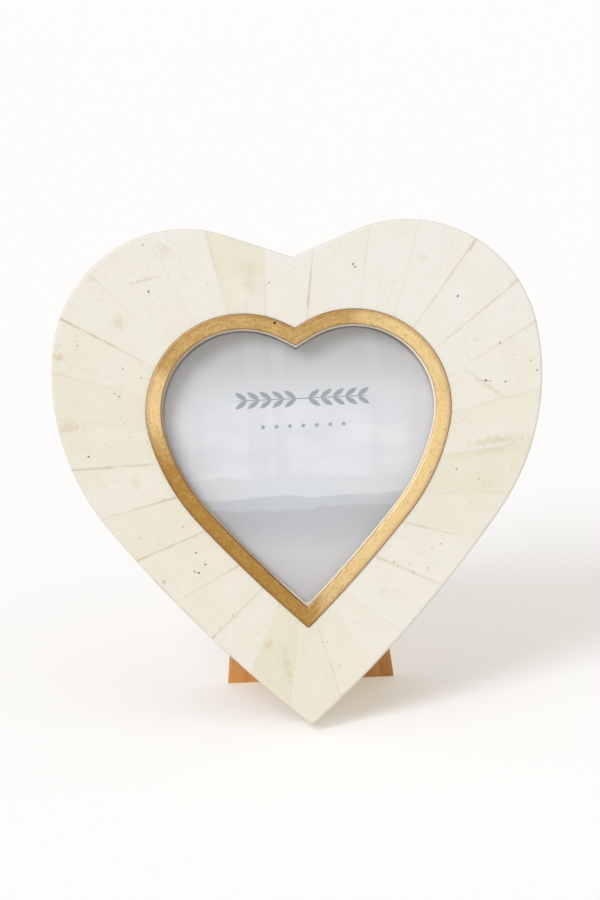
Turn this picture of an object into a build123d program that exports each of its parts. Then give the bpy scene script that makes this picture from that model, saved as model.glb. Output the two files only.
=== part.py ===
from build123d import *
import os
from collections import namedtuple
from math import acos, atan2, cos, degrees, radians, sin, sqrt, tan

# Heart shaped photo frame with bone tiles, a brass ring round the window and an easel leg.
# Lengths are millimetres. Everything is built lying on its back: x to the right, y up the face,
# z towards the viewer, with z = 0 at the back of the board and the window's middle at x = y = 0.
# stand_up() then leans it back on its leg, with +Z up and the face towards -Y.

# Outline of the face. A heart's right half is a straight valley, then a lobe, a flank and a long
# side, each arc tangent to the one before. Heights and radii are shares of the heart's width, and
# angles are bearings from the arc's centre, in degrees.
face_width = 130.9
face_lobe_y_share = 0.2108
face_lobe_radius_share = 0.2704
face_valley_angle = 20.6
face_lobe_end_angle = 9.0
face_flank_radius_share = 0.4912
face_flank_end_angle = -37.5
face_side_radius_share = 2.75
face_tip_round = 1.6
face_cleft_round = 5.0

# Window through the core board, drawn in the same way. Its width is a share of the face's.
window_width_share = 0.5683
window_lobe_y_share = 0.1842
window_lobe_radius_share = 0.2888
window_valley_angle = 29.0
window_lobe_end_angle = -14.2
window_flank_radius_share = 0.6972
window_flank_end_angle = -40.6
window_side_radius_share = 4.76
window_tip_round = 1.6

# Stance
lean_angle = 15.0
leg_open_angle = 25.0

# Core board and the rebate in its back
core_thickness = 7.5
rebate_depth = 4.5
rebate_ledge = 4.0
rebate_tip_round = 3.0
pane_clearance = 0.3

# Bone tiles on the face, and the resin they are bedded in
tile_thickness = 2.5
tile_edge_round = 0.7
tile_joint = 0.16
bed_thickness = 0.2
joint_sink = 0.08

# Bone strips round the edge of the board
strip_thickness = 2.4

# Brass ring round the window
ring_width = 4.0
ring_set_back = 0.5
ring_proud = 0.5
ring_edge_round = 0.35
ring_fit = 0.12
ring_tip_round = 0.5
ring_cleft_round = 1.2

# Glass and card, a film of air apart; the backing board fills what is left of the rebate
glass_thickness = 1.5
pane_gap = 0.05
card_thickness = 0.4

# Easel leg
leg_thickness = 3.0
leg_foot_width = 45.6
leg_top_width = 28.0
leg_top_round = 3.0
leg_end_run = 2.5
stop_clearance = 0.1

# Hinge between backing board and leg
hinge_height = 10.6
hinge_width = 20.0
leaf_thickness = 0.8
leaf_corner_round = 2.0
knuckle_radius = 1.5
knuckle_lift = 0.3
knuckle_gap = 0.3
middle_knuckle_width = 8.0
hinge_pin_radius = 0.75
hinge_pin_fit = 0.05
hinge_pin_head_radius = 1.2
hinge_pin_head = 0.6

# Rivets through the leaves
rivet_radius = 1.0
rivet_fit = 0.05
rivet_head_radius = 1.8
rivet_head = 0.7
rivet_tail_radius = 1.5
rivet_tail = 0.4
rivet_spacing = 11.0
rivet_edge = 3.2
leg_top_clearance = 2.0

# Turn buttons on the back
button_length = 13.0
button_width = 5.5
button_thickness = 0.9
button_lift = 0.1
button_fit = 0.08
button_reach = 3.6
button_angles = [38, 142, 205, 335]
screw_radius = 1.2
screw_length = 5.0
screw_fit = 0.05
screw_head_radius = 2.2
screw_head = 0.9
screw_head_gap = 0.08
screw_slot_width = 0.5
screw_slot_depth = 0.4

# Every cut runs this far past the faces it opens, and wedges this far past the rims
cut_overrun = 8.0
wedge_inset = 4.0

# Bearings of the tiles' joints from the window's middle, where they meet the ring
ring_joint_angles = [
    101, 114, 125, 137, 145, 155, 166, 179, 194, 214, 237, 251, 259, 267, 273, 280, 286, 305,
    326, 342, 359, 375, 387, 397, 407, 414, 426, 445,
]

# Bearings of the same joints where they meet the outer rim
rim_joint_angles = [
    97, 110, 122, 136, 147, 158, 168, 180, 194, 209, 226, 241, 254, 265, 277, 286, 298, 316,
    333, 348, 362, 374, 388, 397, 409, 421, 431, 444,
]

# Bearings of the edge strips' joints on the right half, from the tip up to the cleft
strip_joint_angles = [-90, -62, -42, -20, 5, 33, 58, 90]

# A bearing this close to an arc's end, in degrees, still counts as on the arc
slack_angle = 0.01

# Worked out from the sizes above
Heart = namedtuple(
    "Heart",
    "width lobe_y lobe_radius valley_angle lobe_end_angle flank_radius flank_end_angle side_radius",
)
face_heart = Heart(
    face_width,
    face_lobe_y_share * face_width,
    face_lobe_radius_share * face_width,
    face_valley_angle,
    face_lobe_end_angle,
    face_flank_radius_share * face_width,
    face_flank_end_angle,
    face_side_radius_share * face_width,
)
window_width = window_width_share * face_width
window_heart = Heart(
    window_width,
    window_lobe_y_share * window_width,
    window_lobe_radius_share * window_width,
    window_valley_angle,
    window_lobe_end_angle,
    window_flank_radius_share * window_width,
    window_flank_end_angle,
    window_side_radius_share * window_width,
)
rim_top = core_thickness + bed_thickness + tile_thickness
ring_inner = ring_set_back
ring_outer = ring_set_back + ring_width
tile_inner = ring_outer + ring_fit
pane_growth = rebate_ledge - pane_clearance
pane_tip_round = rebate_tip_round - pane_clearance
glass_bottom = rebate_depth - glass_thickness
card_bottom = glass_bottom - pane_gap - card_thickness
backing_thickness = card_bottom
hinge_axis_depth = knuckle_radius + knuckle_lift

# Where the open leg rests on the fixed leaf, its top, and the leaves' length past it, all
# measured up from the hinge axis
depth_to_leaf = hinge_axis_depth - leaf_thickness - stop_clearance
opened = radians(leg_open_angle)
stop_height = (depth_to_leaf + hinge_axis_depth * cos(opened)) / sin(opened)
leg_top = stop_height + leg_end_run
leaf_length = leg_top + leg_top_clearance + rivet_head_radius + rivet_edge


def polar(radius, bearing):
    return Vector(radius * cos(radians(bearing)), radius * sin(radians(bearing)))


def half_arcs(form, growth):
    """Centre, radius and end bearings of the lobe, flank and side of a heart's right half."""
    lobe_turn, side_turn = form.lobe_end_angle, form.flank_end_angle
    to_lobe = polar(form.flank_radius - form.lobe_radius, lobe_turn)
    flank_x = form.width / 2 - form.flank_radius
    lobe = Vector(flank_x + to_lobe.X, form.lobe_y)
    flank = lobe - to_lobe
    side = flank - polar(form.side_radius - form.flank_radius, side_turn)
    tip_turn = -degrees(acos(-side.X / (form.side_radius + growth)))
    return [
        (lobe, form.lobe_radius + growth, 90 + form.valley_angle, lobe_turn),
        (flank, form.flank_radius + growth, lobe_turn, side_turn),
        (side, form.side_radius + growth, side_turn, tip_turn),
    ]


def valley_line(form, growth):
    """Foot of the valley in the cleft, and the point where the lobe takes over."""
    centre, radius, start, end = half_arcs(form, growth)[0]
    top = centre + polar(radius, start)
    return Vector(0, top.Y - top.X * tan(radians(form.valley_angle))), top


def heart(form, growth=0, tip_round=0, cleft_round=0):
    """Filled heart, its rim moved out by the growth."""
    cleft, valley_top = valley_line(form, growth)
    with BuildSketch() as sketch:
        with BuildLine():
            Line(cleft, valley_top)
            for centre, radius, start, end in half_arcs(form, growth):
                bearings = (start, (start + end) / 2, end)
                ThreePointArc(*[centre + polar(radius, bearing) for bearing in bearings])
            mirror(about=Plane.YZ)
        make_face()
        middle_points = sketch.vertices().sort_by(lambda point: abs(point.X))[:2].sort_by(Axis.Y)
        if tip_round:
            fillet(middle_points[0], tip_round)
        if cleft_round:
            fillet(middle_points[1], cleft_round)
    return sketch.sketch


def heart_plate(form, thickness, growth=0, tip_round=0, cleft_round=0):
    return extrude(heart(form, growth, tip_round, cleft_round), thickness)


def rim_point(form, growth, bearing):
    """Point where a ray from the window's middle crosses a heart's rim."""
    ray = polar(1, bearing)
    side = 1 if ray.X >= 0 else -1
    ray = Vector(abs(ray.X), ray.Y)
    for centre, radius, start, end in half_arcs(form, growth):
        along = centre.dot(ray)
        spread = radius**2 - centre.length**2 + along**2
        if spread < 0:
            continue
        reach = along + sqrt(spread)
        out = ray * reach - centre
        if end - slack_angle <= degrees(atan2(out.Y, out.X)) <= start:
            return Vector(side * ray.X * reach, ray.Y * reach)
    cleft, valley_top = valley_line(form, growth)
    slope = tan(radians(form.valley_angle))
    reach = cleft.Y / (ray.Y - slope * ray.X)
    return Vector(side * ray.X * reach, ray.Y * reach)


def joint_line(inner, outer):
    """Ends of a joint, run on past both rims."""
    way = (outer - inner).normalized()
    return inner - way * wedge_inset, outer + way * cut_overrun


def wedge(first, second, height):
    """Prism between two joint lines, drawn in by half a glue joint on every side."""
    outline = Polygon(first[0], first[1], second[1], second[0], align=None)
    return extrude(offset(outline, -tile_joint / 2, kind=Kind.INTERSECTION), height)


def tile_blank(height, inner_growth):
    """Slab from an inner heart out to the face's rim, its outer top edge softened."""
    slab = heart_plate(face_heart, height, 0, face_tip_round, face_cleft_round)
    slab -= heart_plate(window_heart, height, inner_growth, ring_tip_round, ring_cleft_round)
    rim = slab.faces().sort_by(Axis.Z)[-1].outer_wire().edges()
    return fillet(rim, tile_edge_round)


def bone_tiles():
    """Tiles from the cleft round the left lobe, the tip and the right lobe."""
    blank = Pos(0, 0, core_thickness + bed_thickness) * tile_blank(tile_thickness, tile_inner)
    lines = []
    for inner_bearing, outer_bearing in zip(ring_joint_angles, rim_joint_angles):
        inner = rim_point(window_heart, tile_inner, inner_bearing)
        outer = rim_point(face_heart, 0, outer_bearing)
        lines.append(joint_line(inner, outer))
    tiles = []
    for number, line in enumerate(lines):
        following = lines[(number + 1) % len(lines)]
        tiles.append(blank & wedge(line, following, rim_top))
    return tiles


def glue_bed(tiles):
    """Resin under the tiles, up between them and round the ring, just below their faces."""
    bed = tile_blank(bed_thickness + tile_thickness - joint_sink, ring_outer)
    bed = Pos(0, 0, core_thickness) * bed
    for tile in tiles:
        bed -= tile
    return bed


def edge_strips():
    """Bone strips round the board, from the tip up the right side and down the left."""
    ring = heart_plate(face_heart, core_thickness, 0, face_tip_round, face_cleft_round)
    ring -= heart_plate(face_heart, core_thickness, -strip_thickness)
    right = [
        joint_line(
            rim_point(face_heart, -strip_thickness, bearing),
            rim_point(face_heart, 0, bearing),
        )
        for bearing in strip_joint_angles
    ]
    strips = [ring & wedge(a, b, core_thickness) for a, b in zip(right, right[1:])]
    return strips + [strip.mirror(Plane.YZ) for strip in reversed(strips)]


def button_places():
    """Screw centre of each turn button on the back, and the bearing of its tongue."""
    places = []
    for bearing in button_angles:
        seat = rim_point(window_heart, rebate_ledge + button_reach, bearing)
        places.append((seat, bearing + 180))
    return places


def frame_core():
    """Core board with the window through it and the rebate in its back."""
    core = heart_plate(face_heart, core_thickness, -strip_thickness)
    core -= heart_plate(window_heart, core_thickness, 0, window_tip_round)
    core -= heart_plate(window_heart, rebate_depth, rebate_ledge, rebate_tip_round)
    for seat, bearing in button_places():
        core -= Pos(*seat) * drilled(screw_radius + screw_fit, screw_length)
    return core


def drilled(radius, depth):
    return extrude(Circle(radius), depth)


def brass_ring():
    """Ring on the core board, its two top edges softened."""
    height = bed_thickness + tile_thickness + ring_proud
    ring = heart_plate(window_heart, height, ring_outer, ring_tip_round, ring_cleft_round)
    ring -= heart_plate(window_heart, height, ring_inner)
    ring = fillet(ring.faces().sort_by(Axis.Z)[-1].edges(), ring_edge_round)
    return Pos(0, 0, core_thickness) * ring


def pane(bottom, thickness):
    """Plate that drops into the rebate."""
    return Pos(0, 0, bottom) * heart_plate(window_heart, thickness, pane_growth, pane_tip_round)


def rivet_places(height):
    return [Pos(side * rivet_spacing / 2, height, 0) for side in (-1, 1)]


def backing_board():
    """Board flush with the back, drilled for the fixed leaf's rivets."""
    board = pane(0, backing_thickness)
    for place in rivet_places(hinge_height + leaf_length - rivet_edge):
        board -= place * drilled(rivet_radius + rivet_fit, backing_thickness)
    return board


def knuckles(spans):
    """Tubes on the hinge axis, which lies along x through the origin."""
    tubes = Part()
    for start, end in spans:
        tube = Cylinder(knuckle_radius, end - start, rotation=(0, 90, 0))
        bore = Cylinder(hinge_pin_radius + hinge_pin_fit, end - start, rotation=(0, 90, 0))
        tubes += Pos((start + end) / 2, 0, 0) * (tube - bore)
    return tubes


def leaf(outer_side):
    """Hinge leaf that runs up from its axis, with the plate below the knuckles in z."""
    half = hinge_width / 2
    middle = middle_knuckle_width / 2
    with BuildSketch() as outline:
        Rectangle(hinge_width, leaf_length, align=(Align.CENTER, Align.MIN))
        fillet(outline.vertices().group_by(Axis.Y)[-1], leaf_corner_round)
    plate = Pos(0, 0, -hinge_axis_depth) * extrude(outline.sketch, leaf_thickness)
    outer_spans = [(-half, -middle - knuckle_gap), (middle + knuckle_gap, half)]
    own_spans, other_spans = outer_spans, [(-middle - knuckle_gap, middle + knuckle_gap)]
    if not outer_side:
        own_spans = [(-middle, middle)]
        other_spans = [(-half, -middle), (middle, half)]
    for start, end in other_spans:
        notch = Box(end - start, 2 * (knuckle_radius + knuckle_gap), 2 * hinge_axis_depth)
        plate -= Pos((start + end) / 2, 0, 0) * notch
    bore = Cylinder(hinge_pin_radius + hinge_pin_fit, hinge_width, rotation=(0, 90, 0))
    made = plate + knuckles(own_spans) - bore
    for place in rivet_places(leaf_length - rivet_edge):
        made -= place * Cylinder(rivet_radius + rivet_fit, 2 * hinge_axis_depth)
    return made


def hinge_pin():
    pin = Cylinder(hinge_pin_radius, hinge_width, rotation=(0, 90, 0))
    for side in (-1, 1):
        head = Cylinder(hinge_pin_head_radius, hinge_pin_head, rotation=(0, 90, 0))
        pin += Pos(side * (hinge_width + hinge_pin_head) / 2, 0, 0) * head
    return pin


def rivet(grip, tail):
    """Rivet whose head sits on z = 0 and whose shank goes down through the grip."""
    shank = Pos(0, 0, -grip) * extrude(Circle(rivet_radius), grip)
    head = extrude(Circle(rivet_head_radius), rivet_head)
    made = shank + fillet(head.edges().group_by(Axis.Z)[-1], rivet_head / 2)
    if tail:
        spread = Pos(0, 0, -grip - tail) * extrude(Circle(rivet_tail_radius), tail)
        made += fillet(spread.edges().group_by(Axis.Z)[0], tail / 2)
    return made


def leg_reach():
    """Length of the leg's inner face from the hinge axis down to the floor."""
    tip = heart(face_heart, 0, face_tip_round, face_cleft_round).bounding_box().min.Y
    lean = radians(lean_angle)
    rise = hinge_height - tip + hinge_axis_depth * sin(opened)
    depth = hinge_axis_depth * (1 + cos(opened))
    return (rise * cos(lean) - depth * sin(lean)) / cos(opened - lean)


def easel_leg():
    """Leg hanging down from the hinge axis, its inner face towards +z."""
    reach = leg_reach()
    inner = -hinge_axis_depth
    outer = inner - leg_thickness
    foot_drop = leg_thickness * tan(radians(leg_open_angle - lean_angle))
    foot = -reach - foot_drop
    with BuildSketch(Plane.YZ) as side_view:
        Polygon(
            (-reach, inner),
            (stop_height, inner),
            (leg_top, inner - leg_end_run * tan(opened)),
            (leg_top, outer),
            (foot, outer),
            align=None,
        )
    with BuildSketch() as front_view:
        Polygon(
            (-leg_foot_width / 2, foot),
            (leg_foot_width / 2, foot),
            (leg_top_width / 2, leg_top),
            (-leg_top_width / 2, leg_top),
            align=None,
        )
        fillet(front_view.vertices().group_by(Axis.Y)[-1], leg_top_round)
    leg = extrude(side_view.sketch, leg_foot_width / 2, both=True)
    leg &= Pos(0, 0, outer) * extrude(front_view.sketch, leg_thickness)
    for place in rivet_places(rivet_edge - leaf_length):
        leg -= place * Pos(0, 0, outer) * drilled(rivet_radius + rivet_fit, leg_thickness)
    return leg


def turn_button():
    """Bar that lies on the back with its screw hole at the origin and its tongue along x."""
    bar = SlotCenterToCenter(button_length - button_width, button_width)
    bar = Pos((button_length - button_width) / 2, 0, 0) * extrude(bar, button_thickness)
    bar = fillet(bar.edges().group_by(Axis.Z)[0], button_thickness / 3)
    return bar - drilled(screw_radius + button_fit, button_thickness)


def button_screw():
    """Screw with its head below z = 0 and its shank up in the board."""
    bearing_depth = button_lift + button_thickness + screw_head_gap
    shank = Pos(0, 0, -bearing_depth) * extrude(Circle(screw_radius), bearing_depth + screw_length)
    head = Pos(0, 0, -bearing_depth - screw_head) * extrude(Circle(screw_head_radius), screw_head)
    head = fillet(head.edges().group_by(Axis.Z)[0], screw_head / 2)
    slot = Box(2 * screw_head_radius, screw_slot_width, screw_slot_depth)
    return shank + head - Pos(0, 0, -bearing_depth - screw_head + screw_slot_depth / 2) * slot


def group(members):
    """Alike fasteners as one group of separate solids."""
    return Compound([solid for member in members for solid in member.solids()])


# Pieces in the flat frame
tiles = bone_tiles()
pieces = {
    "frame_core": frame_core(),
    "glue_bed": glue_bed(tiles),
    "brass_ring": brass_ring(),
    "glass_pane": pane(glass_bottom, glass_thickness),
    "photo_insert": pane(card_bottom, card_thickness),
    "backing_board": backing_board(),
}
for number, tile in enumerate(tiles, 1):
    pieces[f"bone_tile_{number:02d}"] = tile
for number, strip in enumerate(edge_strips(), 1):
    pieces[f"edge_strip_{number:02d}"] = strip

hinge_place = Pos(0, hinge_height, -hinge_axis_depth)
turned_over = Rot(0, 180, 0)
pieces["hinge_fixed_leaf"] = hinge_place * turned_over * leaf(True)
pieces["hinge_pin"] = hinge_place * hinge_pin()
fixed_grip = leaf_thickness + backing_thickness
fixed_rivets = []
for place in rivet_places(hinge_height + leaf_length - rivet_edge):
    fixed_rivets.append(place * Pos(0, 0, -leaf_thickness) * turned_over * rivet(fixed_grip, 0))
pieces["fixed_leaf_rivets"] = group(fixed_rivets)

leg_place = hinge_place * Rot(leg_open_angle, 0, 0)
pieces["easel_leg"] = leg_place * easel_leg()
pieces["hinge_moving_leaf"] = leg_place * Rot(0, 0, 180) * leaf(False)
moving_grip = leaf_thickness + leg_thickness
moving_rivets = []
for place in rivet_places(rivet_edge - leaf_length):
    lifted = Pos(0, 0, leaf_thickness - hinge_axis_depth)
    moving_rivets.append(leg_place * place * lifted * rivet(moving_grip, rivet_tail))
pieces["moving_leaf_rivets"] = group(moving_rivets)

screws = []
for number, (seat, bearing) in enumerate(button_places(), 1):
    spot = Pos(*seat)
    lowered = Pos(0, 0, -button_lift - button_thickness)
    pieces[f"turn_button_{number}"] = spot * Rot(0, 0, bearing) * lowered * turn_button()
    screws.append(spot * Rot(0, 0, bearing) * button_screw())
pieces["turn_button_screws"] = group(screws)


def stand_up(shapes):
    """Lean the frame back on its leg and put the origin on the floor below its middle."""
    leaning = Rot(90 - lean_angle, 0, 0)
    stood = {name: leaning * shape for name, shape in shapes.items()}
    box = group(stood.values()).bounding_box()
    to_origin = Pos(0, -(box.min.Y + box.max.Y) / 2, -box.min.Z)
    return {name: to_origin * shape for name, shape in stood.items()}, to_origin * leaning


standing, stance = stand_up(pieces)
os.makedirs("parts", exist_ok=True)
for name, shape in standing.items():
    export_step(shape, f"parts/{name}.step")
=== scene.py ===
import math

import bpy
from mathutils import Matrix, Vector


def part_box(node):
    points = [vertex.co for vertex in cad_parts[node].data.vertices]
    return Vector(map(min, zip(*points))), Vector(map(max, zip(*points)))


# Heart shaped photo frame with bone tiles, a brass ring and an easel leg: its finishes, studio
# and camera. Lengths are metres, except on the face, which is measured in millimetres: x to the
# right, y up the face and z towards the viewer, from the window's middle on the back.

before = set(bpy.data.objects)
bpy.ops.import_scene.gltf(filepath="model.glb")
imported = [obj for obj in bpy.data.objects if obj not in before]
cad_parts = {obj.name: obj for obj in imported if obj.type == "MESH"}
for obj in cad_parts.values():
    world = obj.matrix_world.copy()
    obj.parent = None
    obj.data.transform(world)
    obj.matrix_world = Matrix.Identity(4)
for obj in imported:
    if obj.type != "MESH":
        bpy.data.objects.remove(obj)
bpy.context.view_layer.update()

lean = math.radians(15)
leg_open = math.radians(25)
face_turn = math.pi / 2 - lean
leg_turn = face_turn + leg_open
face_origin = Vector((0, 0.00242, 0.06806))
millimetre = 0.001

# Heights over the back, how far a joint reaches from the ring, and a depth past every piece
face_height = 10.2
edge_round_bottom = 9.5
board_thickness = 7.5
ring_height = 10.7
joint_length = 22.0
right_through = 100

# The strips on the board's edge take their noise from further on than the tiles
strip_count = 14
strip_seed = 40

# Where each joint between the tiles starts at the ring and ends at the rim, how brown it is at
# either end, and how far its stain spreads. Tile 1 lies between the first two joints.
joints = [
    ((-7.5, 38.8), (-7.0, 56.9), 0.08, 0.00, 0.7),
    ((-17.7, 39.6), (-22.7, 62.3), 0.05, 0.30, 1.0),
    ((-26.1, 37.2), (-38.6, 61.8), 0.03, 0.05, 0.8),
    ((-33.8, 31.5), (-54.6, 52.7), 0.02, 0.10, 0.7),
    ((-37.6, 26.3), (-62.6, 40.7), 0.08, 0.62, 0.7),
    ((-40.4, 18.8), (-65.4, 26.4), 0.00, 0.14, 0.8),
    ((-40.6, 10.1), (-64.8, 13.8), 0.03, 0.08, 1.1),
    ((-38.0, 0.7), (-61.2, 0.0), 0.22, 0.48, 0.7),
    ((-33.5, -8.4), (-54.1, -13.5), 0.34, 0.08, 0.7),
    ((-26.3, -17.8), (-45.1, -25.0), 0.30, 0.42, 0.6),
    ((-17.7, -27.3), (-35.3, -36.5), 0.28, 0.10, 0.5),
    ((-11.6, -33.7), (-25.9, -46.6), 0.12, 0.45, 0.5),
    ((-7.4, -37.9), (-16.2, -56.3), 0.02, 0.00, 0.8),
    ((-2.2, -42.9), (-5.8, -65.9), 0.02, 0.02, 1.2),
    ((2.2, -42.9), (7.9, -64.1), 0.12, 0.16, 0.4),
    ((6.8, -38.5), (16.2, -56.3), 0.02, 0.00, 0.5),
    ((10.1, -35.2), (25.2, -47.3), 0.00, 0.07, 0.5),
    ((18.5, -26.5), (36.4, -35.2), 0.32, 0.16, 0.9),
    ((26.3, -17.8), (46.3, -23.6), 0.28, 0.00, 0.7),
    ((32.1, -10.4), (55.2, -11.7), 0.03, 0.00, 0.6),
    ((37.4, -0.7), (62.0, 2.2), 0.10, 0.08, 0.8),
    ((40.7, 10.9), (65.1, 16.2), 0.03, 0.08, 0.9),
    ((40.0, 20.4), (64.5, 34.3), 0.00, 0.18, 0.8),
    ((36.8, 27.7), (60.3, 45.4), 0.08, 0.34, 0.6),
    ((31.5, 33.8), (49.5, 56.9), 0.15, 0.30, 0.6),
    ((26.8, 36.9), (34.7, 62.6), 0.00, 0.05, 0.6),
    ((17.7, 39.6), (21.3, 62.0), 0.00, 0.08, 0.9),
    ((3.2, 37.1), (5.9, 56.5), 0.62, 0.08, 0.6),
]

# How yellow each tile's bone is, from 0 for the whitest, and how thickly its pores lie
yellowness = [
    0.60, 0.05, 0.20, 0.30, 0.45, 0.65, 0.60, 0.45, 0.60, 0.50, 0.45, 0.35, 1.00, 0.60,
    0.50, 0.35, 0.18, 0.25, 0.50, 0.75, 0.40, 0.25, 0.08, 0.08, 0.00, 0.00, 0.08, 0.05,
]
poriness = [
    0.20, 0.25, 0.60, 0.30, 0.80, 0.90, 0.40, 0.30, 0.30, 0.60, 0.20, 0.30, 0.20, 0.20,
    0.30, 0.20, 0.30, 0.90, 0.20, 0.30, 0.20, 0.80, 0.35, 0.25, 0.15, 0.20, 0.20, 0.15,
]

# Open pits in the bone: tile, place on the face, half its length, and how dark it is
pits = [
    (3, -38.5, 46.7, 0.42, 1.0),
    (7, -56.5, 3.4, 0.38, 1.0),
    (10, -29.1, -23.4, 0.36, 0.9),
    (10, -26.7, -26.7, 0.40, 1.0),
    (10, -29.6, -28.5, 0.36, 1.0),
    (10, -28.5, -28.8, 0.40, 1.0),
    (11, -20.0, -40.4, 0.32, 0.8),
    (20, 41.4, -4.3, 0.46, 1.0),
    (22, 50.3, 18.9, 0.46, 1.0),
    (22, 51.3, 18.8, 0.30, 0.8),
    (22, 55.6, 18.4, 0.42, 0.9),
    (23, 54.4, 28.8, 0.38, 1.0),
    (24, 43.8, 41.7, 0.40, 1.0),
    (27, 16.3, 51.6, 0.44, 1.0),
    (27, 16.8, 50.8, 0.36, 0.9),
    (2, -22.6, 48.1, 0.28, 0.5),
    (3, -39.5, 59.3, 0.45, 0.5),
    (5, -46.3, 26.4, 0.36, 0.8),
    (5, -58.1, 33.1, 0.44, 0.35),
    (5, -58.5, 34.5, 0.38, 0.25),
    (5, -58.5, 35.8, 0.34, 0.2),
    (5, -41.6, 23.8, 0.42, 0.4),
    (6, -48.8, 19.9, 0.32, 0.6),
    (6, -47.7, 19.0, 0.42, 0.7),
    (6, -47.2, 19.6, 0.28, 0.6),
    (7, -40.6, 6.4, 0.50, 0.3),
    (9, -32.3, -16.4, 0.30, 0.6),
    (10, -38.0, -30.9, 0.60, 0.4),
    (11, -23.6, -43.7, 0.28, 0.5),
    (12, -13.6, -45.6, 0.30, 0.4),
    (14, 3.4, -48.8, 0.34, 0.6),
    (15, 4.7, -48.9, 0.30, 0.6),
    (15, 7.7, -55.3, 0.36, 0.3),
    (17, 28.8, -31.5, 0.36, 0.6),
    (17, 28.0, -43.7, 0.36, 0.4),
    (18, 23.6, -28.3, 0.40, 0.6),
    (18, 24.2, -29.2, 0.34, 0.7),
    (18, 28.3, -31.2, 0.44, 0.7),
    (18, 27.8, -29.0, 0.34, 0.6),
    (18, 36.3, -24.0, 0.36, 0.5),
    (18, 33.9, -25.3, 0.32, 0.4),
    (18, 32.3, -30.3, 0.34, 0.5),
    (20, 47.3, -7.2, 0.26, 0.5),
    (22, 64.1, 21.1, 0.32, 0.7),
    (22, 58.1, 25.4, 0.28, 0.4),
    (22, 62.5, 23.7, 0.30, 0.5),
    (24, 40.7, 31.0, 0.28, 0.6),
    (28, -6.3, 47.6, 0.42, 0.5),
]
pit_slimness = 0.7

# Old stains in the bone: tile, place, half its length and width, its turn in degrees, strength.
# Each fades out over an oval that is wider by stain_fade.
stains = [
    (1, -11.8, 51.4, 3.7, 2.4, 0, 0.40),
    (1, -11.4, 47.3, 1.6, 2.7, 0, 0.45),
    (2, -34.0, 57.2, 1.9, 2.6, 30, 0.50),
    (2, -21.0, 57.5, 0.7, 4.0, 10, 0.70),
    (3, -39.1, 49.9, 4.2, 0.6, 12, 0.80),
    (4, -46.8, 38.8, 1.6, 2.3, 20, 0.60),
    (4, -53.2, 51.2, 1.9, 1.3, 45, 0.60),
    (5, -63.4, 30.4, 1.5, 1.2, 0, 0.95),
    (7, -61.2, 11.4, 3.4, 1.5, 8, 0.70),
    (8, -44.3, -4.1, 1.3, 1.9, 0, 0.45),
    (9, -43.9, -18.8, 1.1, 0.4, 0, 0.60),
    (13, -11.0, -48.7, 1.1, 1.2, 0, 0.90),
    (13, -6.2, -54.5, 1.2, 5.0, 10, 0.75),
    (17, 20.0, -35.9, 1.1, 1.3, 0, 0.40),
    (20, 50.0, 0.0, 8.0, 1.0, 6, 0.45),
    (21, 53.3, 2.9, 8.3, 1.3, 4, 0.75),
    (22, 50.8, 17.5, 7.6, 0.7, -38, 0.70),
    (24, 48.0, 55.0, 1.6, 1.2, 50, 0.80),
    (24, 59.3, 44.6, 1.6, 1.1, 40, 0.80),
    (25, 34.8, 52.4, 1.6, 1.3, 0, 0.40),
]
stain_fade = 1.4
stain_depth = 0.5

# How far the ring's outer edge lies from the window's middle, on either side, every 6 degrees
# from the tip up to the cleft, and a length that none of them reaches
ring_reaches = [
    44.8, 41.0, 38.1, 35.8, 34.1, 32.9, 32.1, 31.6, 31.4, 31.5, 32.0, 32.8, 33.7, 34.8, 36.1, 37.6,
    39.3, 41.2, 42.9, 44.2, 45.2, 45.9, 46.1, 46.0, 45.5, 44.6, 43.3, 41.7, 39.7, 37.5, 35.2,
]
full_reach = 50.0

# How bright the ring's painted reflection is, by share of a turn from the right and up over the
# top
ring_painted_reflection = [
    (0.000, 1.00),
    (0.060, 0.95),
    (0.140, 0.88),
    (0.178, 0.70),
    (0.194, 0.28),
    (0.250, 0.30),
    (0.340, 0.38),
    (0.398, 0.28),
    (0.410, 0.82),
    (0.450, 0.90),
    (0.474, 0.42),
    (0.500, 0.06),
    (0.735, 0.03),
    (0.757, 0.12),
    (0.768, 0.62),
    (0.820, 0.94),
    (0.960, 1.00),
]

# How brown the seam round the ring is, by the same share of a turn: the resin's own brown with
# painted shadow of the ring
ring_seam_and_shadow = [
    (0.00, 0.90),
    (0.10, 0.95),
    (0.22, 0.80),
    (0.30, 0.40),
    (0.42, 0.45),
    (0.48, 0.75),
    (0.60, 0.60),
    (0.72, 0.80),
    (0.76, 1.00),
    (0.85, 0.85),
]

# Where painted shade lies on the ledge inside the ring, by the same share of a turn
ledge_painted_shade = [
    (0.00, 0.00),
    (0.28, 0.00),
    (0.40, 0.45),
    (0.46, 0.80),
    (0.70, 0.90),
    (0.74, 0.10),
]

# How far inside the ring's outer edge the card comes into sight, by the same share of a turn, a
# length that none of these reaches, and how strong the painted shadow along the card's edge is
# there
card_insets = [
    (0.00, 4.7),
    (0.10, 4.5),
    (0.18, 4.6),
    (0.22, 5.3),
    (0.25, 5.2),
    (0.28, 5.3),
    (0.32, 4.6),
    (0.45, 4.5),
]
full_inset = 10.0
card_edge_shadow = [
    (0.00, 0.00),
    (0.08, 0.30),
    (0.14, 0.70),
    (0.34, 0.75),
    (0.42, 0.45),
    (0.50, 0.25),
    (0.56, 0.00),
]


def paint(red, green, blue):
    """Colour as a paint chart gives it, 0 to 255, taken off its sRGB curve for a shader."""
    chart = [level / 255 for level in (red, green, blue)]
    return [c / 12.92 if c <= 0.04045 else ((c + 0.055) / 1.055) ** 2.4 for c in chart] + [1]


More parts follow.
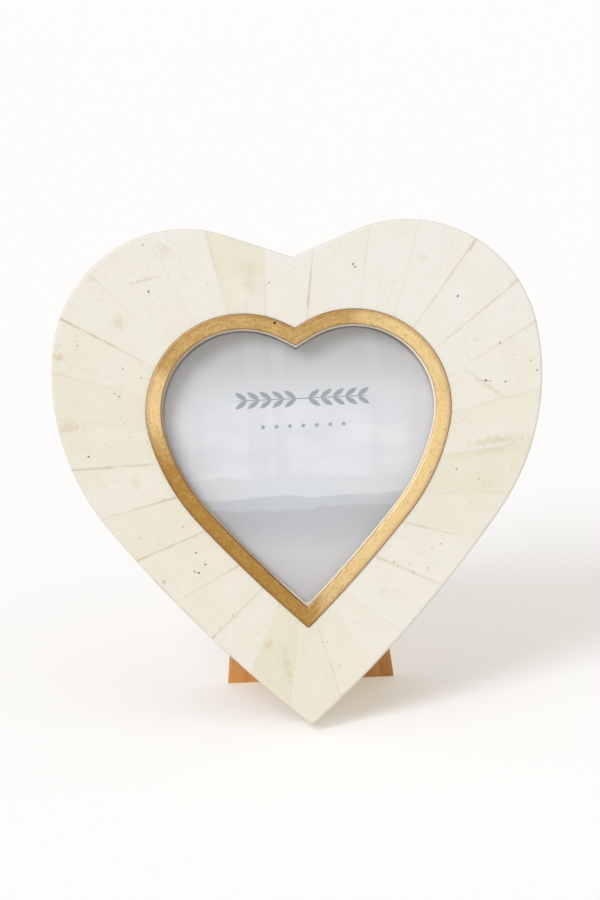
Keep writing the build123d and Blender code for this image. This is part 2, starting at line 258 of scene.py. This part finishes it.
bone_white = paint(239, 235, 226)
bone_yellow = paint(230, 223, 200)
bone_stain = paint(202, 180, 128)
bone_fleck = paint(206, 194, 150)
bone_rim_shade = paint(220, 196, 162)
pore_brown = paint(118, 94, 62)
joint_brown = paint(178, 126, 80)
joint_pale = paint(244, 238, 223)
brass_dull_and_shaded = paint(161, 121, 59)
brass_bright_and_lit = paint(224, 196, 142)
brass_dirt_and_shade = paint(122, 72, 36)
nail_brown = paint(70, 48, 26)
core_light = paint(232, 206, 184)
core_dark = paint(206, 160, 130)
ledge_cream = paint(252, 247, 238)
ledge_shade_brown = paint(178, 136, 100)
back_dark = paint(112, 64, 36)
back_light = paint(146, 90, 54)
backing_dark = paint(96, 52, 28)
backing_light = paint(128, 74, 42)
leg_dark = paint(216, 142, 76)
leg_light = paint(250, 188, 112)
wood_pore = paint(84, 42, 22)
hinge_dull = paint(150, 116, 62)
hinge_bright = paint(214, 180, 112)
steel_dull = paint(150, 148, 143)
steel_bright = paint(206, 204, 200)
sky_dim = paint(220, 221, 228)
sky_bright = paint(232, 233, 238)
sky_top_print_and_shade = paint(186, 187, 188)
column_grey = paint(211, 213, 219)
mist_grey = paint(214, 214, 218)
ink_green = paint(126, 139, 143)
card_shadow_brown = paint(84, 62, 48)

# Hills on the card, the farthest first: how high each lies, its rise, its breadth and colour
hills = [
    (-4.0, 3.0, 17, paint(219, 221, 226)),
    (-9.5, 2.2, 12, paint(199, 202, 208)),
    (-12.5, 2.0, 7, paint(186, 188, 194)),
]

# Print on the card: a stem with pairs of leaves on either side of its middle, and a row of dots
print_middle = 1.1
stem_height = 16.5
stem_half_length = 17
stem_half_width = 0.14
leaf_pairs = 5
leaf_pitch = 3.3
leaf_start = 3.2
leaf_offset = 1.15
leaf_slant = 34
leaf_half_length = 2.0
leaf_half_width = 0.72
dots_each_side = 3
dot_pitch = 3.6
dot_height = 9.2
dot_radius = 0.6


class Finish:
    """A material on one or more pieces, its coordinates in millimetres on the face."""

    def __init__(self, name, turn=face_turn):
        self.material = bpy.data.materials.new(name)
        self.material.use_nodes = True
        self.tree = self.material.node_tree
        self.shader = self.tree.nodes["Principled BSDF"]
        coordinates = self.tree.nodes.new("ShaderNodeTexCoord")
        upright = (math.degrees(turn), 0, 0)
        scale = (millimetre,) * 3
        self.place = self.turned(coordinates.outputs["Object"], upright, face_origin, scale)

    def put(self, value, socket):
        """Sets a socket to a number or colour, or links it."""
        if isinstance(value, bpy.types.NodeSocket):
            self.tree.links.new(value, socket)
        else:
            socket.default_value = value

    def look(self, name, value):
        """Sets one of the shader's inputs, by its name."""
        self.put(value, self.shader.inputs[name])

    def give(self, *names):
        """Gives the finish to CAD nodes by name."""
        for name in names:
            for slot in bpy.data.objects[name].material_slots:
                slot.material = self.material

    def turned(self, vector, turn, origin=(0, 0, 0), scale=(1, 1, 1)):
        """Coordinates from a new origin, turned by so many degrees and counted in a new scale."""
        mapping = self.tree.nodes.new("ShaderNodeMapping")
        mapping.vector_type = "TEXTURE"
        self.put(vector, mapping.inputs["Vector"])
        mapping.inputs["Location"].default_value = origin
        mapping.inputs["Rotation"].default_value = [math.radians(angle) for angle in turn]
        mapping.inputs["Scale"].default_value = scale
        return mapping.outputs["Vector"]

    def stretched(self, vector, scale, turn=0):
        """Coordinates in which noise is drawn out by so much along x, y and z."""
        return self.turned(vector, (0, 0, turn), scale=scale)

    def split(self, vector):
        """The x, y and z of a vector."""
        node = self.tree.nodes.new("ShaderNodeSeparateXYZ")
        self.put(vector, node.inputs[0])
        return node.outputs[0], node.outputs[1], node.outputs[2]

    def joined(self, x, y, z):
        """The vector with this x, y and z."""
        node = self.tree.nodes.new("ShaderNodeCombineXYZ")
        for value, socket in zip((x, y, z), node.inputs):
            self.put(value, socket)
        return node.outputs[0]

    def worked(self, operation, *values):
        """The result of one operation on numbers or sockets."""
        node = self.tree.nodes.new("ShaderNodeMath")
        node.operation = operation
        for value, socket in zip(values, node.inputs):
            self.put(value, socket)
        return node.outputs[0]

    def times(self, first, second):
        """Two numbers multiplied."""
        return self.worked("MULTIPLY", first, second)

    def plus(self, first, second):
        """Two numbers added."""
        return self.worked("ADD", first, second)

    def minus(self, first, second):
        """The first number less the second."""
        return self.worked("SUBTRACT", first, second)

    def larger(self, first, second):
        """The larger of two numbers."""
        return self.worked("MAXIMUM", first, second)

    def absolute(self, value):
        """A number without its sign."""
        return self.worked("ABSOLUTE", value)

    def scaled(self, value, factor, more):
        """A value times a factor, and so much more."""
        return self.worked("MULTIPLY_ADD", value, factor, more)

    def swayed(self, tone, noise, amount):
        """A tone moved up and down by noise, over so much in all."""
        return self.scaled(noise, amount, self.minus(tone, amount / 2))

    def length(self, vector):
        """How long a vector is."""
        node = self.tree.nodes.new("ShaderNodeVectorMath")
        node.operation = "LENGTH"
        self.put(vector, node.inputs[0])
        return node.outputs["Value"]

    def cloud(self, vector, size=1, detail=2.0, warp=0.0):
        """Soft noise from 0 to 1 whose patches are about so many units across."""
        node = self.tree.nodes.new("ShaderNodeTexNoise")
        self.put(vector, node.inputs["Vector"])
        node.inputs["Scale"].default_value = 1 / size
        node.inputs["Detail"].default_value = detail
        node.inputs["Distortion"].default_value = warp
        return node.outputs["Fac"]

    def cells(self, vector, size):
        """Distance from the middle of scattered cells, and a number for each cell."""
        node = self.tree.nodes.new("ShaderNodeTexVoronoi")
        self.put(vector, node.inputs["Vector"])
        node.inputs["Scale"].default_value = 1 / size
        split = self.tree.nodes.new("ShaderNodeSeparateColor")
        self.put(node.outputs["Color"], split.inputs[0])
        return node.outputs["Distance"], split.outputs[0]

    def ramp(self, value, start, end, low=0.0, high=1.0):
        """Smooth change from low to high as the value goes from start to end."""
        node = self.tree.nodes.new("ShaderNodeMapRange")
        node.interpolation_type = "SMOOTHSTEP"
        for number, socket in zip((value, start, end, low, high), node.inputs):
            self.put(number, socket)
        return node.outputs[0]

    def mix(self, share, first, second):
        """The first colour at share 0, the second at share 1."""
        node = self.tree.nodes.new("ShaderNodeMix")
        node.data_type = "RGBA"
        self.put(share, node.inputs["Factor"])
        # The colour sockets come after those for numbers and vectors, which share their names
        first_colour, second_colour = node.inputs[6:8]
        self.put(first, first_colour)
        self.put(second, second_colour)
        return node.outputs[2]

    def tinted(self, colour, shade, mask, strength):
        """A colour with another shade over it, where a mask shows and as strong as it says."""
        return self.mix(self.times(mask, strength), colour, shade)

    def spot(self, x, y, half_length, half_width, turn=0, wobble=None, core=0.45):
        """Mask of an oval spot on the face, 1 within its core."""
        scale = (half_length, half_width, right_through)
        place = self.turned(self.place, (0, 0, turn), (x, y, face_height), scale)
        reach = self.length(place)
        if wobble:
            reach = self.plus(reach, wobble)
        return self.ramp(reach, 1.0, core)

    def bearing(self):
        """Share of a turn round the window's middle, from the right and up over the top."""
        x, y, _ = self.split(self.place)
        return self.worked("FRACT", self.times(self.worked("ARCTAN2", y, x), 1 / math.tau))

    def steps(self, value, stops, interpolation="LINEAR"):
        """A tone that goes through stops of (value, tone)."""
        node = self.tree.nodes.new("ShaderNodeValToRGB")
        self.put(value, node.inputs[0])
        node.color_ramp.interpolation = interpolation
        points = node.color_ramp.elements
        points.remove(points[1])
        for index, (position, tone) in enumerate(stops):
            point = points.new(position) if index else points[0]
            point.position = position
            point.color = (tone, tone, tone, 1)
        return node.outputs[0]

    def lengths(self, value, stops, full):
        """A length that goes through stops of (value, length), none of them past full."""
        tones = [(position, length / full) for position, length in stops]
        return self.times(self.steps(value, tones), full)

    def past_ring(self):
        """How far a spot lies past the ring's outer edge, less than 0 on the ring."""
        x, y, _ = self.split(self.place)
        height = self.worked("ARCTAN2", y, self.absolute(x))
        share = self.scaled(height, 1 / math.pi, 0.5)
        last = len(ring_reaches) - 1
        stops = [(index / last, reach) for index, reach in enumerate(ring_reaches)]
        edge = self.lengths(share, stops, full_reach)
        return self.minus(self.length(self.joined(x, y, 0.0)), edge)

    def relief(self, height, depth):
        """Bump whose full height is so many millimetres."""
        node = self.tree.nodes.new("ShaderNodeBump")
        node.inputs["Distance"].default_value = depth * millimetre
        self.put(height, node.inputs["Height"])
        return node.outputs[0]


def bone_ground(finish, grain_turn, seed, yellow, pores):
    """Bone's colour and height: clouds, streaks along the grain, and small open pores."""
    start = (seed * 3.1, seed * 1.7, seed * 5.3)
    place = finish.turned(finish.place, (0, 0, grain_turn), start)
    clouds = finish.cloud(place, size=9, detail=3)
    streaks = finish.cloud(finish.stretched(place, (9, 0.8, 4)), detail=4, warp=0.4)
    tone = finish.swayed(finish.swayed(yellow, clouds, 1.1), streaks, 0.4)
    colour = finish.mix(finish.ramp(tone, -0.3, 1.3), bone_white, bone_yellow)
    crowded = finish.ramp(finish.cloud(place, size=7), 0.35, 0.7, 0.04, 0.34)
    flecks = finish.ramp(finish.cloud(place, size=0.8, detail=4), 0.52, 0.72)
    colour = finish.tinted(colour, bone_fleck, flecks, crowded)

    distance, number = finish.cells(finish.stretched(place, (1.8, 1, 1)), size=0.6)
    rarity = finish.scaled(finish.cloud(place, size=5, detail=1), -0.6, 1.32 - 0.18 * pores)
    chosen = finish.ramp(finish.minus(number, rarity), 0.0, 0.10)
    pore = finish.times(finish.ramp(distance, 0.26, 0.08), chosen)
    colour = finish.tinted(colour, pore_brown, pore, 0.42)
    polish = finish.cloud(place, size=3.5)
    height = finish.scaled(polish, 0.35, finish.times(streaks, 0.12))
    height = finish.minus(height, finish.times(pore, 0.8))
    return colour, height, clouds


def bone_surface(finish, colour, height, clouds):
    """Polished bone of a colour and height, a little duller where the clouds are."""
    finish.look("Base Color", colour)
    finish.look("Roughness", finish.ramp(clouds, 0.25, 0.75, 0.36, 0.50))
    finish.look("Normal", finish.relief(height, 0.06))
    finish.look("Specular IOR Level", 0.45)


def tile_finish(number):
    """Bone of one tile, with the stain along its joints, its pits and old stains."""
    finish = Finish(f"bone_tile_{number:02d}")
    sides = [joints[number - 1], joints[number % len(joints)]]
    outward = sum((Vector(outer) - Vector(inner) for inner, outer, *_ in sides), Vector((0, 0)))
    askew = (number * 37 % 11 - 5) * 1.6
    grain_turn = math.degrees(math.atan2(outward.y, outward.x)) + askew
    yellow, pores = yellowness[number - 1], poriness[number - 1]
    colour, height, clouds = bone_ground(finish, grain_turn, number, yellow, pores)

    wobble = finish.ramp(finish.cloud(finish.place, size=1.1, detail=3), 0.3, 0.7, -0.3, 0.3)
    for tile, x, y, half_length, half_width, turn, strength in stains:
        if tile == number:
            half_length, half_width = half_length * stain_fade, half_width * stain_fade
            spot = finish.spot(x, y, half_length, half_width, turn, wobble, core=0.0)
            colour = finish.tinted(colour, bone_stain, spot, strength * stain_depth)

    patches = finish.ramp(finish.cloud(finish.place, size=5, detail=3), 0.32, 0.62)
    for inner, outer, brown_inside, brown_outside, spread in sides:
        way = Vector(outer) - Vector(inner)
        turn = math.degrees(math.atan2(way.y, way.x))
        along, across, _ = finish.split(finish.turned(finish.place, (0, 0, turn), (*inner, 0)))
        across = finish.absolute(across)
        brown = finish.ramp(along, 0.0, way.length, brown_inside, brown_outside)
        brown = finish.times(finish.scaled(patches, 0.85, 0.15), brown)
        halo = finish.times(finish.ramp(across, spread * 1.2, 0.0), brown)
        colour = finish.tinted(colour, bone_stain, halo, 0.6)
        line = finish.times(finish.ramp(across, 0.30, 0.08), brown)
        colour = finish.tinted(colour, joint_brown, line, 0.9)

    for tile, x, y, half_length, dark in pits:
        if tile == number:
            pit = finish.spot(x, y, half_length, half_length * pit_slimness, grain_turn, wobble)
            colour = finish.tinted(colour, pore_brown, pit, dark * 0.8)
            height = finish.minus(height, finish.times(pit, 3 * dark))

    # Painted shade, tan, on the rounded outer rim, from the face down to the bottom of its
    # rounding
    depth = finish.split(finish.place)[2]
    rim_shade = finish.ramp(depth, face_height - 0.12, edge_round_bottom, 0.0, 0.55)
    bone_surface(finish, finish.mix(rim_shade, colour, bone_rim_shade), height, clouds)
    return finish


def strip_finish(number):
    """Bone of one strip on the board's edge, its grain along the strip."""
    name = f"edge_strip_{number:02d}"
    finish = Finish(name)
    low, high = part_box(name)
    middle = ((low + high) / 2 - face_origin) / millimetre
    grain_turn = math.degrees(math.atan2(middle.z, middle.x)) + 90
    yellow = 0.35 + (number * 29 % 7) / 12
    seed = number + strip_seed
    bone_surface(finish, *bone_ground(finish, grain_turn, seed, yellow, pores=0.5))
    return finish


def resin_finish():
    """Bedding resin, brown in some joints and nearly bone coloured in others."""
    finish = Finish("resin")
    spokes = []
    for inner, outer, *browns, _ in joints:
        x, y = (Vector(inner) + Vector(outer)) / 2
        spokes.append((math.atan2(y, x) / math.tau % 1, browns))
    spokes.sort()
    ends = []
    for end in (0, 1):
        first = spokes[0][1][end]
        stops = [(0, first)]
        for (turn, _), (following, browns) in zip(spokes, spokes[1:]):
            stops.append(((turn + following) / 2, browns[end]))
        stops.append(((spokes[-1][0] + spokes[0][0] + 1) / 2, first))
        ends.append(finish.steps(finish.bearing(), stops, "CONSTANT"))
    browns = finish.mix(finish.ramp(finish.past_ring(), 0.0, joint_length), *ends)
    patches = finish.ramp(finish.cloud(finish.place, size=4, detail=3), 0.35, 0.65, 0.4, 1.0)
    # Round the ring the seam is brown: the resin's own colour, with painted shadow of the ring
    # heaviest on the right and at the tip
    around = finish.steps(finish.bearing(), ring_seam_and_shadow)
    seam_and_shadow = finish.ramp(finish.past_ring(), 0.5, 0.3)
    share = finish.times(finish.mix(seam_and_shadow, browns, around), patches)
    finish.look("Base Color", finish.mix(share, joint_pale, joint_brown))
    finish.look("Roughness", 0.4)
    grains = finish.cloud(finish.place, size=0.5, detail=3)
    finish.look("Normal", finish.relief(grains, 0.03))
    return finish


def ring_finish():
    """Brass ring, brushed along its length, with painted reflection that brightens some sides and
    painted shade on its edges.
    """
    finish = Finish("ring_brass")
    depth = finish.split(finish.place)[2]
    past = finish.past_ring()
    marks_round, marks_across = 64, 2.6
    along = finish.times(finish.bearing(), marks_round)
    around = finish.joined(along, finish.times(past, marks_across), 0.0)
    brushed = finish.cloud(around, detail=4)
    clouds = finish.cloud(finish.place, size=9)
    grit = finish.cloud(finish.place, size=0.55, detail=4)
    # Painted reflection: the tone by share of a turn makes some sides of the ring bright and
    # others dark, broken up by clouds, brushing and grit
    tone = finish.swayed(finish.steps(finish.bearing(), ring_painted_reflection), clouds, 0.2)
    tone = finish.swayed(finish.swayed(tone, brushed, 0.8), grit, 0.8)
    colour = finish.mix(tone, brass_dull_and_shaded, brass_bright_and_lit)
    # Painted shade: the ring grows darker towards its outer edge, broken up by the brushing
    ring_outer_shade = finish.scaled(brushed, 0.6, past)
    colour = finish.mix(finish.ramp(ring_outer_shade, -1.2, 0.2, 0.0, 0.34), colour, brass_dirt_and_shade)
    colour = finish.tinted(colour, brass_dirt_and_shade, finish.ramp(grit, 0.34, 0.27), 0.55)
    # Painted shade on the ring's rounded edges and side walls, weaker down the walls, where the
    # brass is also made less metallic
    wall = finish.ramp(depth, ring_height - 0.5, ring_height - 1.1, 1.0, 0.3)
    shoulder_shade = finish.ramp(depth, ring_height - 0.06, ring_height - 0.30)
    shoulder_shade = finish.times(shoulder_shade, wall)
    colour = finish.tinted(colour, brass_dirt_and_shade, shoulder_shade, 0.85)
    nail = finish.spot(-5.3, 36.8, half_length=0.6, half_width=0.45)
    height = finish.scaled(grit, 0.5, finish.times(brushed, 0.6))
    height = finish.minus(height, finish.times(nail, 1.5))
    finish.look("Normal", finish.relief(height, 0.03))
    finish.look("Base Color", finish.mix(nail, colour, nail_brown))
    finish.look("Roughness", finish.ramp(grit, 0.3, 0.7, 0.38, 0.46))
    finish.look("Metallic", finish.minus(1.0, finish.times(shoulder_shade, 0.7)))
    return finish


def board_finish():
    """Core board: sealed and pale round the window, stained on its back."""
    finish = Finish("board")
    depth = finish.split(finish.place)[2]
    fibres = finish.cloud(finish.stretched(finish.place, (3, 0.5, 0.5)), detail=4)
    sealed = finish.mix(fibres, core_light, core_dark)
    ledge = finish.ramp(depth, board_thickness - 0.6, board_thickness)
    sealed = finish.mix(ledge, sealed, ledge_cream)
    # Painted shade, brown, on the left and lower left of the pale board round the window, where
    # the ring shades the ledge
    ledge_shade = finish.steps(finish.bearing(), ledge_painted_shade)
    sealed = finish.tinted(sealed, ledge_shade_brown, ledge_shade, 0.8)
    stained = finish.mix(fibres, back_dark, back_light)
    finish.look("Base Color", finish.mix(finish.ramp(depth, 0.15, 0.4), stained, sealed))
    finish.look("Normal", finish.relief(fibres, 0.05))
    finish.look("Roughness", 0.6)
    return finish


def wood_finish(name, turn, dark, light, roughness):
    """Stained wood with its grain up the piece."""
    finish = Finish(name, turn)
    fibres = finish.cloud(finish.stretched(finish.place, (0.7, 14, 3)), detail=5, warp=0.3)
    figure = finish.cloud(finish.stretched(finish.place, (5, 60, 9), turn=4), detail=3, warp=0.8)
    tone = finish.scaled(figure, 0.9, finish.scaled(fibres, 0.7, -0.3))
    colour = finish.mix(finish.ramp(tone, 0.1, 0.9), dark, light)
    lines = finish.cloud(finish.stretched(finish.place, (0.25, 3, 1)))
    pores = finish.ramp(lines, 0.34, 0.28)
    finish.look("Base Color", finish.tinted(colour, wood_pore, pores, 0.5))
    height = finish.minus(fibres, finish.times(pores, 0.6))
    finish.look("Normal", finish.relief(height, 0.05))
    finish.look("Roughness", finish.ramp(fibres, 0.3, 0.7, roughness, roughness + 0.12))
    return finish


def garland(finish):
    """Mask of the card's print: a stem with pairs of leaves, and a row of dots under it."""
    middle = (print_middle, stem_height, 0)
    stem = finish.turned(finish.place, (0, 0, 0), middle, (stem_half_length, stem_half_width, 1))
    u, v, _ = finish.split(stem)
    ink = finish.ramp(finish.larger(finish.absolute(u), finish.absolute(v)), 1.1, 0.9)
    leaf = (leaf_half_length, leaf_half_width, 1)
    for side in (-1, 1):
        for pair in range(leaf_pairs):
            for branch in (-1, 1):
                slant = branch * leaf_slant
                turn = slant if side > 0 else 180 - slant
                x = print_middle + side * (leaf_start + leaf_pitch * pair)
                y = stem_height + branch * leaf_offset
                blade = finish.turned(finish.place, (0, 0, turn), (x, y, 0), leaf)
                u, v, _ = finish.split(blade)
                shape = finish.scaled(u, u, finish.absolute(v))
                ink = finish.larger(ink, finish.ramp(shape, 1.0, 0.8))
    round_dot = (dot_radius, dot_radius, right_through)
    for step in range(-dots_each_side, dots_each_side + 1):
        spot = (print_middle + dot_pitch * step, dot_height, 0)
        dot = finish.turned(finish.place, (0, 0, 0), spot, round_dot)
        ink = finish.larger(ink, finish.ramp(finish.length(dot), 1.0, 0.7))
    return ink


def card_finish():
    """Printed card: misty hills under a pale sky, with a garland of leaves."""
    finish = Finish("card")
    x, y, _ = finish.split(finish.place)
    haze = finish.cloud(finish.stretched(finish.place, (22, 9, 1)), detail=4)
    colour = finish.mix(finish.ramp(haze, 0.3, 0.7), sky_dim, sky_bright)
    # The sky darkens towards the top: partly the print, partly painted shade under the ring's top
    height = finish.scaled(haze, 10, y)
    colour = finish.mix(finish.ramp(height, 16, 36, 0.0, 0.85), colour, sky_top_print_and_shade)
    columns = finish.cloud(finish.joined(x, 3.0, 0.0), size=6)
    colour = finish.mix(finish.ramp(columns, 0.5, 0.62, 0.0, 0.35), colour, column_grey)
    for level, rise, breadth, shade in hills:
        ridge = finish.cloud(finish.joined(x, level * 7, 0.0), size=breadth, detail=3)
        ridge = finish.scaled(ridge, rise * 2, level - rise)
        below = finish.minus(ridge, y)
        colour = finish.mix(finish.ramp(below, 0.0, 0.6), colour, shade)
    mist = finish.ramp(finish.scaled(haze, 8, y), -12, -22, 0.0, 0.75)
    colour = finish.mix(mist, colour, mist_grey)
    colour = finish.tinted(colour, ink_green, garland(finish), 0.8)

    # Painted shadow along the card's edge just inside the ledge, strongest over the top
    bearing = finish.bearing()
    inset = finish.lengths(bearing, card_insets, full_inset)
    edge = finish.ramp(finish.plus(finish.past_ring(), inset), -0.75, -0.25)
    colour = finish.tinted(colour, card_shadow_brown, edge, finish.steps(bearing, card_edge_shadow))
    tooth = finish.cloud(finish.place, size=0.25, detail=3)
    finish.look("Normal", finish.relief(tooth, 0.01))
    finish.look("Base Color", colour)
    finish.look("Roughness", 0.55)
    return finish


def glass_finish():
    """Clear pane that lets lamplight and the room's light through."""
    finish = Finish("pane_glass")
    finish.look("Base Color", (0.97, 0.985, 0.98, 1))
    finish.look("Transmission Weight", 1.0)
    finish.look("Roughness", 0.02)
    finish.look("IOR", 1.45)
    clear = finish.tree.nodes.new("ShaderNodeBsdfTransparent")
    path = finish.tree.nodes.new("ShaderNodeLightPath")
    let_through = finish.larger(path.outputs["Is Shadow Ray"], path.outputs["Is Diffuse Ray"])
    mixed = finish.tree.nodes.new("ShaderNodeMixShader")
    finish.put(let_through, mixed.inputs[0])
    finish.put(finish.shader.outputs[0], mixed.inputs[1])
    finish.put(clear.outputs[0], mixed.inputs[2])
    finish.put(mixed.outputs[0], finish.tree.nodes["Material Output"].inputs["Surface"])
    return finish


def metal_finish(name, dark, light, roughness, scratch):
    """Sheet or turned metal, dulled in patches and finely scratched."""
    finish = Finish(name)
    clouds = finish.cloud(finish.place, size=4, detail=4)
    scratches = finish.cloud(finish.stretched(finish.place, scratch, turn=8), detail=4)
    tone = finish.scaled(clouds, 0.8, finish.scaled(scratches, 0.5, -0.15))
    finish.look("Base Color", finish.mix(finish.ramp(tone, 0.1, 0.9), dark, light))
    finish.look("Roughness", finish.ramp(clouds, 0.3, 0.7, roughness + 0.12, roughness))
    finish.look("Normal", finish.relief(scratches, 0.02))
    finish.look("Metallic", 1.0)
    return finish


for number in range(1, len(joints) + 1):
    tile_finish(number).give(f"bone_tile_{number:02d}")
for number in range(1, strip_count + 1):
    strip_finish(number).give(f"edge_strip_{number:02d}")
resin_finish().give("glue_bed")
ring_finish().give("brass_ring")
board_finish().give("frame_core")
glass_finish().give("glass_pane")
card_finish().give("photo_insert")
backing = wood_finish("stained_board", face_turn, backing_dark, backing_light, roughness=0.6)
backing.give("backing_board")
stained = wood_finish("stained_wood", leg_turn, leg_dark, leg_light, roughness=0.45)
stained.give("easel_leg")
brass = metal_finish("hinge_brass", hinge_dull, hinge_bright, 0.32, scratch=(0.3, 6, 1))
brass.give("hinge_fixed_leaf", "hinge_moving_leaf", "hinge_pin")
brass.give("fixed_leaf_rivets", "moving_leaf_rivets")
brass.give("turn_button_1", "turn_button_2", "turn_button_3", "turn_button_4")
steel = metal_finish("steel", steel_dull, steel_bright, 0.28, scratch=(0.2, 3, 1))
steel.give("turn_button_screws")


def seen_rays(tree):
    """1 for the rays that the eye, metal and glass see the room by, else 0."""
    path = tree.nodes.new("ShaderNodeLightPath")
    seen = path.outputs["Is Camera Ray"]
    for rays in ("Is Glossy Ray", "Is Transmission Ray"):
        either = tree.nodes.new("ShaderNodeMath")
        either.operation = "MAXIMUM"
        tree.links.new(seen, either.inputs[0])
        tree.links.new(path.outputs[rays], either.inputs[1])
        seen = either.outputs[0]
    return seen


# Floor: lit as paint for the pieces, and as a sheet with a faint glow for whoever looks at it
bpy.ops.object.select_all(action="DESELECT")
bpy.ops.mesh.primitive_plane_add(size=12, location=(0, 2, 0))
floor = bpy.context.object
floor.name = "floor"
floor_finish = Finish("floor")
floor_finish.look("Base Color", (0.92, 0.91, 0.88, 1))
floor_finish.look("Roughness", 0.9)
floor_finish.look("Specular IOR Level", 0.0)
floor_tree = floor_finish.tree
floor_sheet = floor_tree.nodes.new("ShaderNodeBsdfDiffuse")
floor_sheet.inputs["Color"].default_value = (0.757, 0.786, 0.886, 1)
floor_glow = floor_tree.nodes.new("ShaderNodeEmission")
floor_glow.inputs["Color"].default_value = (0.326, 0.291, 0.194, 1)
floor_glow.inputs["Strength"].default_value = 1.0
floor_lit = floor_tree.nodes.new("ShaderNodeAddShader")
floor_finish.put(floor_sheet.outputs[0], floor_lit.inputs[0])
floor_finish.put(floor_glow.outputs[0], floor_lit.inputs[1])
floor_seen = floor_tree.nodes.new("ShaderNodeMixShader")
floor_finish.put(seen_rays(floor_tree), floor_seen.inputs[0])
floor_finish.put(floor_finish.shader.outputs[0], floor_seen.inputs[1])
floor_finish.put(floor_lit.outputs[0], floor_seen.inputs[2])
floor_finish.put(floor_seen.outputs[0], floor_tree.nodes["Material Output"].inputs["Surface"])
floor.data.materials.append(floor_finish.material)

# White room, brighter to look at than the light it gives
room_light = 0.62
room_seen = 0.975
room = bpy.data.worlds.new("room")
bpy.context.scene.world = room
room.use_nodes = True
sky = room.node_tree.nodes["Background"]
level = room.node_tree.nodes.new("ShaderNodeMapRange")
level.inputs["To Min"].default_value = room_light
level.inputs["To Max"].default_value = room_seen
room.node_tree.links.new(seen_rays(room.node_tree), level.inputs["Value"])
room.node_tree.links.new(level.outputs[0], sky.inputs["Strength"])
sky.inputs["Color"].default_value = (1, 1, 1, 1)

# Soft light from the upper left
towards_lamp = Vector((-0.42, -0.66, 0.62))
lamp_data = bpy.data.lights.new("soft_lamp", "SUN")
lamp_data.energy = 1.28
lamp_data.angle = math.radians(24)
lamp = bpy.data.objects.new("soft_lamp", lamp_data)
bpy.context.scene.collection.objects.link(lamp)
lamp.rotation_mode = "QUATERNION"
lamp.rotation_quaternion = towards_lamp.to_track_quat("Z", "Y")

# Camera square to the face, a long lens, turned a little so that the heart leans as it should,
# and aimed a few of the photo's pixels off the window's middle
camera_data = bpy.data.cameras.new("camera")
camera_data.lens = 225
camera_data.sensor_width = 36
camera_data.clip_start = 0.1
camera_data.clip_end = 50
camera = bpy.data.objects.new("camera", camera_data)
bpy.context.scene.collection.objects.link(camera)
camera_distance = 1.5
tilt = math.radians(2.62)
pixel = 0.267 * millimetre
pixels_left, pixels_up = 0.9, 10
across = Vector((1, 0, 0))
upward = Vector((0, math.sin(lean), math.cos(lean)))
outward = Vector((0, -math.cos(lean), math.sin(lean)))
right = across * math.cos(tilt) - upward * math.sin(tilt)
up = across * math.sin(tilt) + upward * math.cos(tilt)
face_middle = face_origin + outward * face_height * millimetre
aim = face_middle - right * pixels_left * pixel + up * pixels_up * pixel
facing = Matrix((right, up, outward)).transposed().to_4x4()
camera.matrix_world = Matrix.Translation(aim + outward * camera_distance) @ facing
bpy.context.scene.camera = camera
bpy.context.scene.view_settings.view_transform = "Standard"
